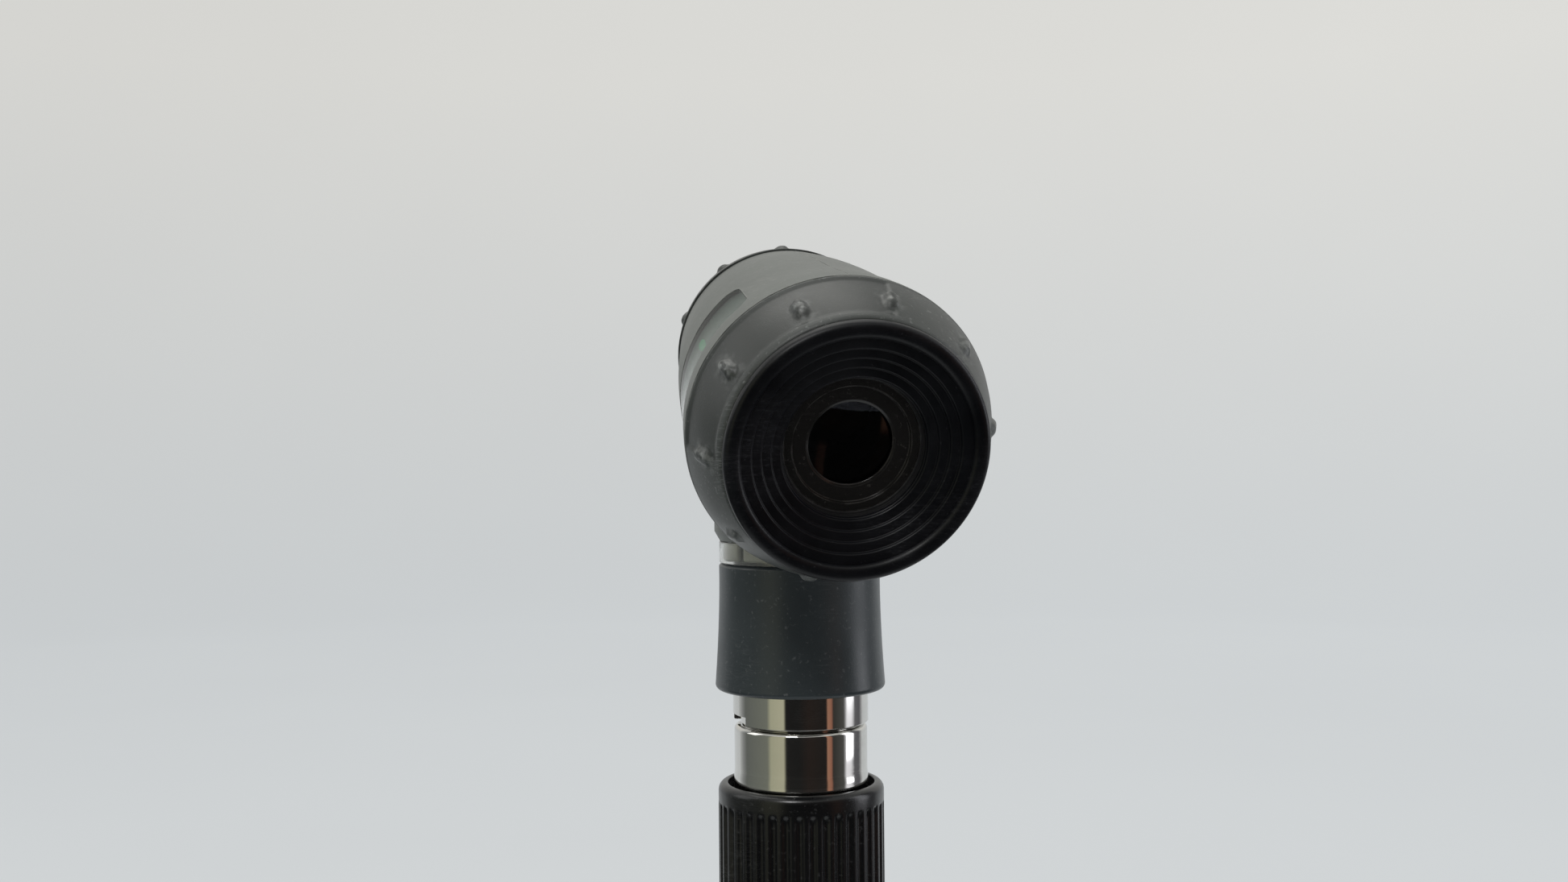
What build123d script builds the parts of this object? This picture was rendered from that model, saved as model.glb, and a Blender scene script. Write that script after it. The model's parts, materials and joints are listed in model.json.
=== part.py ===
"""Otoscope: a viewing head on a throat-light base, on a battery handle.

Millimetres. Z runs up the handle, the origin is the centre of the tail cap's flat
end, and the eyepiece faces -Y. The head is drawn about its own optical axis: there,
local Z is the station along that axis, positive towards the eyepiece, X is to the
right of someone looking into it, and Y is up.
"""

import os
from math import cos, radians, sin

from build123d import *

# Clearances
RUN = 0.1  # a turning or sliding fit, on the radius
FREE = 0.3  # between pieces that pass each other
TOUCH = 0.05  # a gap too small to see

# Handle
handle_length = 150.0  # tail face to the top of the neck ring
grip_radius = 13.6
grip_wall = 1.4
rheostat_radius = 14.25
rheostat_wall = 2.15
rheostat_height = 30.0
rheostat_ribs = 40
rib_depth = 0.5
neck_ring_radius = 11.55
neck_ring_wall = 1.55
neck_ring_show = 9.9  # how much of it stands above the rheostat ring
stub_length = 9.0  # how far the head's bayonet goes into the neck ring
stub_wall = 1.3
lug_height = 2.0
lug_width = 3.0
lug_depth = 0.65
bayonet_angle = 30.0
tail_cap_height = 14.0
tail_thread_length = 4.5
tail_cap_flutes = 24
battery_length = 82.0
pin_radius = 1.5
pin_travel = 1.5
button_radius = 3.2
button_travel = 1.2

# Base
stub_show = 5.65  # bright metal seen between the collar and the neck ring
stub_joint_gap = 0.45
shoulder_radius = 11.65
collar_height = 21.7
collar_top_radius = 13.85
collar_foot_radius = 14.6
light_band_height = 3.7
light_band_radius = 13.8
spigot_radius = 11.2
spigot_length = 5.4
lamp_radius = 4.8
bulb_radius = 3.2

# Head
axis_tilt = 18.1
neck_radius = 14.6
neck_bore = 9.5
body_radius = 22.7
axis_rise = body_radius + 6.05  # from the light band's top to where the optical axis crosses
shell_wall = 1.0
seam_station = 32.0
seam_radius = body_radius + 1.4
shell_front = -13.0
shell_front_radius = body_radius - 4.0
window_top, window_bottom = 127.0, 215.0  # degrees round the optical axis
window_front = seam_station - 21.0
window_back = seam_station - 5.5
window_corner = 3.0
pane_thickness = 0.8
tube_radius = 12.0
tube_bore = tube_radius - 1.5
nose_tube_radius, nose_tube_bore = 8.0, 6.8
focus_angle = 20.0  # each way
focus_travel = 2.5  # each way
nub_count = 10
nub_radius = 1.1
nub_length = 4.2
nub_height = 0.75
eyepiece_radius = seam_radius - 3.85
eyepiece_station = seam_station + 13.6
eyepiece_bore = tube_bore + 0.4
grip_turn = 40.0
eject_travel = 2.0
cam_pin_radius = 1.0
dial_back, dial_front = -13.3, -22.7
dial_back_radius = shell_front_radius + 0.3
dial_front_radius = dial_back_radius - 2.8
speculum_length = 35.0
speculum_tip_radius = 2.6
port_radius = 1.6
screw_radius = 1.1
screw_head_radius = 1.9

# Levels up the handle's axis
rheostat_top = handle_length - neck_ring_show
rheostat_foot = rheostat_top - rheostat_height
stub_foot = handle_length - stub_length
shoulder_foot = handle_length + stub_joint_gap
collar_foot = shoulder_foot + stub_show
collar_top = collar_foot + collar_height
band_foot = collar_top + TOUCH
band_top = band_foot + light_band_height
neck_foot = band_top + RUN
spigot_foot = neck_foot - spigot_length
axis_height = neck_foot + axis_rise

# Radii that follow from what goes inside what
rheostat_bore = rheostat_radius - rheostat_wall
tube_neck_radius = rheostat_bore - RUN
neck_ring_bore = neck_ring_radius - neck_ring_wall
stub_radius = neck_ring_bore - RUN
stub_bore = stub_radius - stub_wall
battery_bore = grip_radius - grip_wall
battery_radius = battery_bore - 3 * FREE
drum_radius = body_radius - shell_wall - FREE
sleeve_bore, sleeve_radius = tube_radius + RUN, tube_radius + 2.0
tail_plug_radius = battery_bore - RUN

head_plane = Plane(
    origin=(0, 0, axis_height),
    x_dir=(1, 0, 0),
    z_dir=(0, -cos(radians(axis_tilt)), -sin(radians(axis_tilt))),
)


def turned(*corners):
    """A solid of revolution about Z through (radius, level) corners."""
    return revolve(Plane.XZ * make_face(Polyline(*corners, close=True)), Axis.Z)


def tube(outer, inner, low, high):
    """A plain ring or tube, or a disc where inner is 0."""
    return turned((inner, low), (outer, low), (outer, high), (inner, high))


def radial_rod(radius, inner, outer, angle, level):
    """A rod that points away from Z at an angle and level, from one radius to another."""
    rod = Rot(0, 90, 0) * Cylinder(radius, outer - inner, align=(Align.CENTER, Align.CENTER, Align.MIN))
    return Rot(0, 0, angle) * Pos(inner, 0, level) * rod


def cross_rod(radius, low, high, station, height):
    """A rod along X in the head's own frame."""
    rod = Rot(0, 90, 0) * Cylinder(radius, high - low, align=(Align.CENTER, Align.CENTER, Align.MIN))
    return Pos(low, height, station) * rod


def ring_sector(outer, inner, low, high, start, end):
    """Part of a ring between two angles about Z."""
    face = make_face(Polyline((inner, low), (outer, low), (outer, high), (inner, high), close=True))
    return Rot(0, 0, start) * revolve(Plane.XZ * face, Axis.Z, end - start)


def cam_slot(inner, outer, start, turn, station, travel):
    """A sloping slot for a cam pin, cut by rods laid side by side along its path."""
    steps = 12
    rods = []
    for i in range(steps + 1):
        share = i / steps
        rods.append(
            radial_rod(
                cam_pin_radius + RUN, inner, outer, start + share * turn, station + share * travel
            )
        )
    return fused(rods)


def coil(radius, wire, low, high, turns):
    """A round-wire coil spring about Z, its ends' centres on low and high."""
    path = Helix(pitch=(high - low) / turns, height=high - low, radius=radius)
    section = Plane(origin=path @ 0, z_dir=path % 0) * Circle(wire)
    return Pos(0, 0, low) * sweep(section, path=path, is_frenet=True)


def fused(shapes):
    """All of a list of shapes as one."""
    shapes = list(shapes)
    return shapes[0].fuse(*shapes[1:]) if len(shapes) > 1 else shapes[0]


# ---------------------------------------------------------------- handle

battery_low = tail_cap_height + 8.0
battery_top = battery_low + battery_length
tube_shoulder = rheostat_foot - FREE
tube_neck_bore = tube_neck_radius - 2.4
groove_low, groove_high = rheostat_foot + 10.0, rheostat_foot + 20.0
groove_radius = tube_neck_radius - 1.0
button_level = (groove_low + groove_high) / 2
button_face = rheostat_radius + 1.0
button_roof = button_face - 1.2
track_low, track_high = rheostat_foot + 4.0, rheostat_foot + 7.5
tube_top = rheostat_top - 6.0
pin_foot = tube_top - 4.0
lamp_foot = shoulder_foot + 1.55


def make_handle_tube():
    """The bright grip tube, with the thinner neck that the rheostat ring turns on."""
    body = turned(
        (battery_bore, tail_cap_height + TOUCH),
        (grip_radius - 0.6, tail_cap_height + TOUCH),
        (grip_radius, tail_cap_height + 0.6),
        (grip_radius, tube_shoulder - 0.6),
        (grip_radius - 0.6, tube_shoulder),
        (tube_neck_radius, tube_shoulder),
        (tube_neck_radius, tube_top),
        (tube_neck_bore, tube_top),
        (tube_neck_bore, battery_top + 3.0),
        (battery_bore, battery_top + 0.5),
    )
    return (
        body
        - tube(tube_neck_radius + 1, groove_radius, groove_low, groove_high)
        - tube(tube_neck_radius + 1, groove_radius, track_low, track_high)
    )


def make_neck_ring():
    """The handle's bright top ring, with three lugs inside that hold the head."""
    spigot = tube(tube_neck_bore, tube_neck_bore - 1.2, tube_top - 3.0, tube_top)
    ring = turned(
        (neck_ring_bore, tube_top),
        (neck_ring_radius, tube_top),
        (neck_ring_radius, handle_length - 0.9),
        (neck_ring_radius - 0.25, handle_length - 0.3),
        (neck_ring_radius - 0.8, handle_length),
        (neck_ring_bore, handle_length),
    )
    foot = tube(neck_ring_bore + 0.2, tube_neck_bore - 1.2, tube_top, tube_top + 1.5)
    lug = Pos(neck_ring_bore - lug_depth / 2 + 0.2, 0, lug_level) * Box(
        lug_depth + 0.4, lug_width, lug_height
    )
    return fused([ring, spigot, foot] + [Rot(0, 0, a) * lug for a in lug_angles])


lug_level = handle_length - 4.2
lug_angles = (90.0, 210.0, 330.0)


def make_rheostat_ring():
    """The ribbed ring that switches and dims the lamp."""
    ring = turned(
        (rheostat_bore, rheostat_foot),
        (rheostat_radius - 0.5, rheostat_foot),
        (rheostat_radius, rheostat_foot + 0.5),
        (rheostat_radius, rheostat_top - 1.3),
        (rheostat_radius - 0.35, rheostat_top - 0.45),
        (rheostat_radius - 1.1, rheostat_top),
        (rheostat_bore + 0.5, rheostat_top),
        (rheostat_bore + 0.5, rheostat_top - 2.0),
        (rheostat_bore, rheostat_top - 2.6),
    )
    cutter = Pos(rheostat_radius + 0.25, 0, rheostat_foot + 1.6) * Cylinder(
        rib_depth + 0.25, rheostat_height - 4.6, align=(Align.CENTER, Align.CENTER, Align.MIN)
    )
    flutes = [Rot(0, 0, (i + 0.5) * 360 / rheostat_ribs) * cutter for i in range(rheostat_ribs)]
    pad = radial_rod(button_radius + 1.3, rheostat_radius - 1.2, rheostat_radius + 0.15, 90, button_level)
    recess = tube(rheostat_bore + 0.9, rheostat_bore - 1, track_low - 1.0, groove_high)
    hole = radial_rod(button_radius + RUN, rheostat_bore - 1, rheostat_radius + 1, 90, button_level)
    return ring.cut(*flutes) + pad - recess - hole


def make_wiper():
    """A sprung strip that runs on the resistor track and turns with the ring."""
    middle = (track_low + track_high) / 2
    return ring_sector(rheostat_bore + 0.9, tube_neck_radius + TOUCH, middle - 0.8, middle + 0.8, 200, 224)


def make_resistor_track():
    return ring_sector(tube_neck_radius, groove_radius, track_low, track_high, 60, 330)


def make_lock_button():
    """A round button that is pressed to free the ring from off."""
    foot = groove_radius + button_travel + FREE
    button = radial_rod(button_radius, foot, button_face, 90, button_level)
    button = fillet(button.edges().filter_by(GeomType.CIRCLE).sort_by(Axis.Y)[-1], 0.5)
    return button - radial_rod(button_radius - 0.9, foot - 1, button_roof, 90, button_level)


def make_button_spring():
    """The button's return spring, drawn at its pressed length."""
    low = groove_radius + 0.25
    high = button_roof - button_travel - 0.25
    spring = coil(button_radius - 1.35, 0.18, 0, high - low, 2.5)
    return Pos(0, low, button_level) * Rot(-90, 0, 0) * spring


def make_contact_insulator():
    """The plastic bush that carries the contact pin in the top of the handle."""
    return turned(
        (pin_radius + RUN, tube_top + 1.5),
        (neck_ring_bore, tube_top + 1.5),
        (neck_ring_bore, stub_foot - 0.8),
        (neck_ring_bore - 2.0, stub_foot - 0.4),
        (pin_radius + RUN, stub_foot - 0.4),
    )


def make_contact_pin():
    tip = lamp_foot - TOUCH
    return turned(
        (0, pin_foot - 3.0),
        (2.0, pin_foot - 3.0),
        (2.0, pin_foot - 0.2),
        (3.6, pin_foot - 0.2),
        (3.6, pin_foot + 1.0),
        (pin_radius, pin_foot + 1.0),
        (pin_radius, tip - 0.8),
        (pin_radius - 0.7, tip),
        (0, tip),
    )


def make_contact_spring():
    return coil(3.0, 0.32, battery_top + 2.6, pin_foot - 0.6, 9)


def make_battery_cell():
    return turned(
        (0, battery_low),
        (battery_radius - 0.8, battery_low),
        (battery_radius, battery_low + 0.8),
        (battery_radius, battery_top - 1.0),
        (battery_radius - 1.0, battery_top),
        (0, battery_top),
    )


def make_battery_terminal():
    return turned(
        (0, battery_top),
        (4.6, battery_top),
        (4.6, battery_top + 1.4),
        (4.0, battery_top + 2.0),
        (0, battery_top + 2.0),
    )


def make_tail_cap():
    """The screwed end cap, with a fluted edge."""
    cap = turned(
        (0, 0),
        (grip_radius - 1.0, 0),
        (grip_radius, 1.0),
        (grip_radius, tail_cap_height - 0.6),
        (grip_radius - 0.6, tail_cap_height),
        (tail_plug_radius, tail_cap_height),
        (tail_plug_radius, tail_cap_height + tail_thread_length),
        (tail_plug_radius - 1.4, tail_cap_height + tail_thread_length),
        (tail_plug_radius - 1.4, 3.0),
        (0, 3.0),
    )
    flute = Pos(grip_radius + 0.5, 0, 2.5) * Cylinder(
        0.95, tail_cap_height - 5.5, align=(Align.CENTER, Align.CENTER, Align.MIN)
    )
    flutes = [Rot(0, 0, i * 360 / tail_cap_flutes) * flute for i in range(tail_cap_flutes)]
    seal_level = tail_cap_height + 1.1
    seal_groove = tube(tail_plug_radius + 1, tail_plug_radius - 0.8, seal_level - 0.5, seal_level + 0.5)
    return cap.cut(*flutes) - seal_groove


def make_tail_seal():
    """A rubber ring in the cap's groove."""
    seal_level = tail_cap_height + 1.1
    return tube(tail_plug_radius + RUN / 2, tail_plug_radius - 0.8, seal_level - 0.5, seal_level + 0.5)


def make_tail_washer():
    """The contact plate that the cap turns under, with the battery's spring on it."""
    plate = tube(tail_plug_radius - 1.9, 0, 3.05, 4.05)
    return plate + tube(2.2, 0, 4.05, 5.6)


def make_tail_spring():
    return coil(6.0, 0.55, 4.65, battery_low - 0.6, 5)


# ---------------------------------------------------------------- base

groove_top = lug_level + lug_height / 2 + RUN
groove_foot = lug_level - lug_height / 2 - RUN
lamp_top = collar_top - 11.0
lens_low, lens_high = collar_top - 4.3, spigot_foot - FREE


def make_bayonet_stub():
    """The bright metal foot of the head: a shoulder above, and a stub with L-shaped grooves."""
    body = turned(
        (stub_bore, stub_foot),
        (stub_radius - 0.4, stub_foot),
        (stub_radius, stub_foot + 0.4),
        (stub_radius, shoulder_foot),
        (shoulder_radius - 0.15, shoulder_foot),
        (shoulder_radius, shoulder_foot + 0.15),
        (shoulder_radius, collar_top - 7.0),
        (shoulder_radius - 1.4, collar_top - 7.0),
        (shoulder_radius - 1.4, shoulder_foot + 1.5),
        (stub_bore, shoulder_foot + 1.5),
    )
    half_lug = lug_width / 2 / stub_radius * 57.3 + 1.5
    floor = stub_radius - lug_depth - 0.1
    grooves = []
    for angle in lug_angles:
        across = ring_sector(
            stub_radius + 1, floor, groove_foot, groove_top, angle - bayonet_angle - half_lug, angle + half_lug
        )
        down = ring_sector(
            stub_radius + 1,
            floor,
            stub_foot - 1,
            groove_top,
            angle - bayonet_angle - half_lug,
            angle - bayonet_angle + half_lug,
        )
        grooves += [across, down]
    key_notch = ring_sector(
        shoulder_radius + 1, shoulder_radius - 1.3, shoulder_foot - 1, shoulder_foot + 1.6, 160, 205
    )
    return body.cut(*grooves) - key_notch


def make_base_collar():
    """The flared grey collar round the lamp."""
    side = Spline(
        (collar_top_radius, collar_top - 0.5),
        (collar_top_radius + 0.02, collar_top - 6.0),
        (collar_top_radius + 0.2, collar_foot + 10.0),
        (collar_foot_radius, collar_foot + 0.9),
    )
    corner = ThreePointArc(
        (collar_foot_radius, collar_foot + 0.9),
        (collar_foot_radius - 0.26, collar_foot + 0.26),
        (collar_foot_radius - 0.9, collar_foot),
    )
    rest = Polyline(
        (collar_foot_radius - 0.9, collar_foot),
        (shoulder_radius, collar_foot),
        (shoulder_radius, collar_top - 6.0),
        (light_band_radius - 1.2, collar_top - 6.0),
        (light_band_radius - 1.2, collar_top),
        (collar_top_radius - 0.5, collar_top),
        (collar_top_radius, collar_top - 0.5),
    )
    return revolve(Plane.XZ * make_face(side + corner + rest), Axis.Z)


def make_light_band():
    """The clear throat light: a band, a seat for the head and a lens over the lamp."""
    inner = spigot_radius + RUN
    body = turned(
        (0, lens_low),
        (inner - 0.5, lens_low),
        (inner - 0.5, collar_top - 5.8),
        (light_band_radius - 1.2, collar_top - 5.8),
        (light_band_radius - 1.2, band_foot),
        (light_band_radius, band_foot),
        (light_band_radius, band_top),
        (inner, band_top),
        (inner, lens_high),
        (0, lens_high),
    )
    slot = Pos(inner, 0, band_foot + 0.5) * Box(
        0.9, 0.7, light_band_height - 1.0, align=(Align.CENTER, Align.CENTER, Align.MIN)
    )
    return body.cut(*[Rot(0, 0, i * 30 + 10) * slot for i in range(12)])


def make_lamp_holder():
    """The insulating sleeve that centres the lamp in the stub."""
    outer = shoulder_radius - 1.4
    return turned(
        (lamp_radius, lamp_foot),
        (outer, lamp_foot),
        (outer, lamp_top - 4.0),
        (lamp_radius + 1.5, lamp_top - 4.0),
        (lamp_radius + 1.5, lamp_top - 2.0),
        (lamp_radius, lamp_top - 2.0),
    )


def make_lamp_base():
    return turned(
        (0, lamp_foot),
        (lamp_radius - 1.6, lamp_foot),
        (lamp_radius - 1.0, lamp_foot + 0.8),
        (lamp_radius, lamp_foot + 1.2),
        (lamp_radius, lamp_top - 1.2),
        (bulb_radius, lamp_top - 0.4),
        (0, lamp_top - 0.4),
    )


def make_lamp_bulb():
    """The halogen bulb's glass, a short tube with a round end."""
    shoulder = lens_low - 0.5 - bulb_radius
    outline = (
        Line((0, lamp_top - 0.4), (bulb_radius, lamp_top - 0.4))
        + Line((bulb_radius, lamp_top - 0.4), (bulb_radius, shoulder))
        + CenterArc((0, shoulder), bulb_radius, 0, 90)
        + Line((0, shoulder + bulb_radius), (0, lamp_top - 0.4))
    )
    return revolve(Plane.XZ * make_face(outline), Axis.Z)


# ---------------------------------------------------------------- head

carriage_station = 14.5
sleeve_front, sleeve_back = 9.0, seam_station + 4.0
web_front = seam_station + 1.6
drum_front, drum_back = window_front - 1.4, window_back + 0.8
strip_bore = drum_radius - 0.6
drum_neck_radius = strip_bore - FREE
guide_radius = 1.6
guide_height = nose_tube_radius + guide_radius + FREE
hub_radius, hub_bore = dial_front_radius - 2.2, dial_front_radius - 4.1
hub_front = dial_front - FREE
flange_radius = shell_front_radius - 1.8
collector_back = -12.2
nozzle_back = -13.5
cam_station = -19.0
ejector_angles = (90.0, 210.0, 330.0)
speculum_back = -31.1
nozzle_front = -40.0
screw_places = ((2.0, 16.5), (-6.0, -15.0))  # (station, height) in the head's frame
neck_screw_place = (11.9, 3.4)  # (Y, height above the neck's foot)


def shell_outline(inset):
    """The body's outer curve, seam to front, pulled in by inset."""
    return Spline(
        (seam_radius - inset, seam_station),
        (seam_radius - 0.5 - inset, seam_station - 5.0),
        (body_radius - inset, seam_station - 12.0),
        (body_radius - 0.8 - inset, seam_station - 21.0),
        (body_radius - 2.0 - inset, seam_station - 32.0),
        (body_radius - 3.2 - inset, seam_station - 40.0),
        (shell_front_radius - inset, shell_front),
    )


def egg(inset):
    """The body's shape as one solid, pulled in by inset."""
    front = shell_front_radius - inset
    rest = Polyline((front, shell_front), (0, shell_front), (0, seam_station), (seam_radius - inset, seam_station))
    return revolve(Plane.XZ * make_face(shell_outline(inset) + rest), Axis.Z)


def guide_path():
    """The light guide's route: up the neck, then forward beside the nose tube."""
    tilt = radians(axis_tilt)

    def place(height, station):
        y = -height * sin(tilt) - station * cos(tilt)
        return (0, y, axis_height + height * cos(tilt) - station * sin(tilt))

    return FilletPolyline(
        (0, 0, neck_foot + 2.4),
        (0, 0, neck_foot + 9.9),
        place(-guide_height, -3.5),
        place(-guide_height, collector_back),
        radius=6.0,
    )


def make_guide(radius):
    path = guide_path()
    return sweep(Plane(origin=path @ 0, z_dir=path % 0) * Circle(radius), path=path)


def make_shell():
    """Both halves of the body and neck as one, before it is split."""
    neck = turned(
        (0, neck_foot),
        (neck_radius - 0.9, neck_foot),
        (neck_radius, neck_foot + 1.6),
        (neck_radius, axis_height - 10),
        (0, axis_height - 10),
    )
    body = head_plane * egg(0) + neck
    join = [
        e
        for e in body.edges()
        if neck_foot + 2 < e.center().Z < axis_height - 10 and e.length > neck_radius
    ]
    body = fillet(join, 1.5)
    relief = tube(light_band_radius + FREE, 0, collar_foot, neck_foot)
    spigot = tube(spigot_radius, 0, spigot_foot, neck_foot + 0.5)
    cavity = turned(
        (0, seam_station + 1),
        (strip_bore, seam_station + 1),
        (strip_bore, drum_back + FREE),
        (body_radius - shell_wall, drum_back + FREE),
        (body_radius - shell_wall, 20.0),
        (body_radius - shell_wall - 0.4, 14.0),
        (body_radius - shell_wall - 0.9, drum_front - 0.4),
        (body_radius - shell_wall - 2.0, drum_front - 2.4),
        (body_radius - 4.2, 0.0),
        (body_radius - 5.9, -8.0),
        (flange_radius, shell_front + 1.6),
        (hub_radius + RUN, shell_front + 1.6),
        (hub_radius + RUN, shell_front - 1),
        (0, shell_front - 1),
    )
    rib = tube(body_radius - 2.5, tube_radius, 5.6, 7.0)
    channel = tube(neck_bore, 0, spigot_foot - 1, neck_foot + 9.0)
    shell = body - relief + spigot - head_plane * cavity
    bosses = [cross_rod(screw_radius + 1.6, -reach, reach, s, h) for s, h, reach in boss_reaches()]
    inside = head_plane * (fused([rib] + bosses) & egg(0.6))
    return shell + inside - channel - make_guide(guide_radius + FREE)


def boss_reaches():
    """Each screw boss's station, height and half length, to inside the body's skin."""
    return [(s, h, (body_radius**2 - h**2) ** 0.5) for s, h in screw_places]


def window_sector(gap):
    """The left window's shape, cut through the body's wall, smaller by a gap all round."""
    turn = gap / body_radius * 57.3
    sector = ring_sector(
        body_radius + 2,
        drum_radius - 2,
        window_front + gap,
        window_back - gap,
        window_top + turn,
        window_bottom - turn,
    )
    corners = [e for e in sector.edges() if e.geom_type == GeomType.LINE and 3 < e.length < 6]
    return fillet(corners, window_corner)


def make_panes():
    """The smoked panes that fill the side windows, left and right."""
    left = (egg(TOUCH) - egg(pane_thickness)) & window_sector(TOUCH)
    return head_plane * left, head_plane * mirror(left, about=Plane.YZ)


def make_shell_halves():
    """The left and right halves, parted at X = 0, with their screw holes."""
    shell = make_shell()
    window = window_sector(0)
    shell = shell - head_plane * window - head_plane * mirror(window, about=Plane.YZ)
    neck_y, neck_lift = neck_screw_place
    neck_z = neck_foot + neck_lift
    neck_side = (neck_radius**2 - neck_y**2) ** 0.5
    holes = []
    for s, h in screw_places:
        side = (body_radius - 3) ** 2 - h**2
        holes.append(head_plane * cross_rod(screw_radius, -6, 9, s, h))
        holes.append(head_plane * cross_rod(screw_head_radius + RUN, 8, side**0.5 + 8, s, h))
    holes.append(Pos(0, neck_y, neck_z) * cross_rod(screw_radius, -5, 6, 0, 0))
    holes.append(Pos(0, neck_y, neck_z) * cross_rod(screw_head_radius + RUN, 5, neck_side + 3, 0, 0))
    port = head_plane * radial_rod(port_radius + 1.0, hub_radius, body_radius + 4, -12, -5.5)
    shell = shell.cut(*holes) - port
    size = 3 * (body_radius + seam_station)
    gap = TOUCH
    half = Pos(size / 2 + gap, 0, axis_height) * Box(size, size, size)
    other = Pos(-size / 2 - gap, 0, axis_height) * Box(size, size, size)
    return shell & other, shell & half


def make_shell_screws():
    """Three pan-head screws that pull the halves together from the right side."""
    screws = []
    for s, h in screw_places:
        shank = cross_rod(screw_radius - TOUCH, -5, 8, s, h)
        head = cross_rod(screw_head_radius, 8, 9.6, s, h)
        slot = Pos(9.6, h, s) * Box(1.2, 0.5, 3.0)
        screws.append(head_plane * (shank + head - slot))
    neck_y, neck_lift = neck_screw_place
    spot = Pos(0, neck_y, neck_foot + neck_lift)
    shank = cross_rod(screw_radius - TOUCH, -4, 5, 0, 0)
    head = cross_rod(screw_head_radius, 5, 6.6, 0, 0)
    slot = Pos(6.6, 0, 0) * Box(1.2, 0.5, 3.0)
    screws.append(spot * (shank + head - slot))
    return Compound(children=screws)


def make_air_port():
    """The side nipple that takes the tube of an air bulb."""
    port = Rot(0, 90, 0) * turned(
        (0.7, hub_radius + 1.5),
        (port_radius + 1.0, hub_radius + 1.5),
        (port_radius + 1.0, body_radius - 3.2),
        (port_radius, body_radius - 2.6),
        (port_radius, body_radius + 2.4),
        (port_radius - 0.4, body_radius + 3.0),
        (0.7, body_radius + 3.0),
    )
    return head_plane * (Rot(0, 0, -12) * Pos(0, 0, -5.5) * port)


def make_optical_tube():
    """The fixed black barrel that holds the lenses, with slots for the carriage's pins."""
    body = turned(
        (nose_tube_bore, collector_back + 0.2),
        (nose_tube_radius, collector_back + 0.2),
        (nose_tube_radius, 3.5),
        (tube_radius, 3.5),
        (tube_radius, eyepiece_station - 5.0),
        (tube_bore, eyepiece_station - 5.0),
        (tube_bore, 5.0),
        (nose_tube_bore, 5.0),
    )
    half = focus_travel + cam_pin_radius + RUN
    slot = Pos(0, (tube_bore + tube_radius) / 2, carriage_station) * Box(
        2 * (cam_pin_radius + RUN), 4.0, 2 * half
    )
    return body - slot - Rot(0, 0, 180) * slot


def make_lens_carriage():
    """The sliding lens cell, with two pins that reach into the cam sleeve."""
    cell = tube(tube_bore - RUN, tube_bore - 1.3, carriage_station - 4.5, carriage_station + 4.5)
    lip = tube(tube_bore - 1.3, tube_bore - 2.2, carriage_station - 2.8, carriage_station - 1.75)
    pins = [
        radial_rod(cam_pin_radius, tube_bore - 1.0, sleeve_radius - RUN, angle, carriage_station)
        for angle in (90, 270)
    ]
    return fused([cell, lip] + pins)


def lens(radius, back, front, back_rise, front_rise):
    """A lens with two domed faces, and a flat edge between the levels back and front."""
    outline = (
        Line((0, front - front_rise), (0, back + back_rise))
        + RadiusArc((0, back + back_rise), (radius, back), dome_radius(radius, back_rise))
        + Line((radius, back), (radius, front))
        + RadiusArc((radius, front), (0, front - front_rise), dome_radius(radius, front_rise))
    )
    return revolve(Plane.XZ * make_face(outline), Axis.Z)


def dome_radius(radius, rise):
    return (radius**2 + rise**2) / (2 * rise)


def make_cam_sleeve():
    """The sleeve whose sloping slots move the carriage as the focus ring turns."""
    sleeve = tube(sleeve_radius, sleeve_bore, sleeve_front, sleeve_back)
    low = carriage_station - focus_travel
    slots = []
    for base in (90, 270):
        slots.append(
            cam_slot(
                sleeve_bore - 1,
                sleeve_radius + 1,
                base + focus_angle,
                -2 * focus_angle,
                low,
                2 * focus_travel,
            )
        )
    return sleeve.cut(*slots)


def ring_outline():
    """The focus ring's outer curve from the seam to its back edge."""
    return Spline(
        (seam_radius, seam_station + 0.15),
        (seam_radius - 0.9, seam_station + 4.0),
        (seam_radius - 2.1, seam_station + 8.0),
        (seam_radius - 3.5, seam_station + 11.3),
    )


def make_focus_ring():
    """The ring that is turned to focus: a grip with nubs, a web and the drum under the windows."""
    back = seam_station + 11.3
    cushion_clear = eyepiece_radius - 1.0 + FREE
    inside = Polyline(
        (seam_radius - 3.5, back),
        (cushion_clear, back),
        (cushion_clear, sleeve_back + 1.0),
        (cushion_clear - 1.0, sleeve_back),
        (sleeve_radius, sleeve_back),
        (sleeve_radius, web_front),
        (drum_neck_radius - 1.6, web_front),
        (drum_neck_radius - 1.6, drum_front),
        (drum_radius - 0.9, drum_front),
        (drum_radius - 0.35, drum_front + 4.4),
        (drum_radius, drum_front + 10.4),
        (drum_radius, drum_back),
        (drum_neck_radius, drum_back),
        (drum_neck_radius, seam_station + 0.15),
        (seam_radius, seam_station + 0.15),
    )
    body = revolve(Plane.XZ * make_face(ring_outline() + inside), Axis.Z)
    return body.fuse(*nubs(seam_station + 6.6, seam_radius - 1.65, -17.0, 5.3))


def nubs(station, radius, slope, first):
    """Finger nubs round a ring: rounded bars that follow its slope, in degrees."""
    bar = fused(
        [
            Cylinder(nub_radius, nub_length),
            Pos(0, 0, nub_length / 2) * Sphere(nub_radius),
            Pos(0, 0, -nub_length / 2) * Sphere(nub_radius),
        ]
    )
    bar = Pos(radius + nub_height - nub_radius, 0, station) * Rot(0, slope, 0) * bar
    return [Rot(0, 0, first + i * 360 / nub_count) * bar for i in range(nub_count)]


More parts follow.
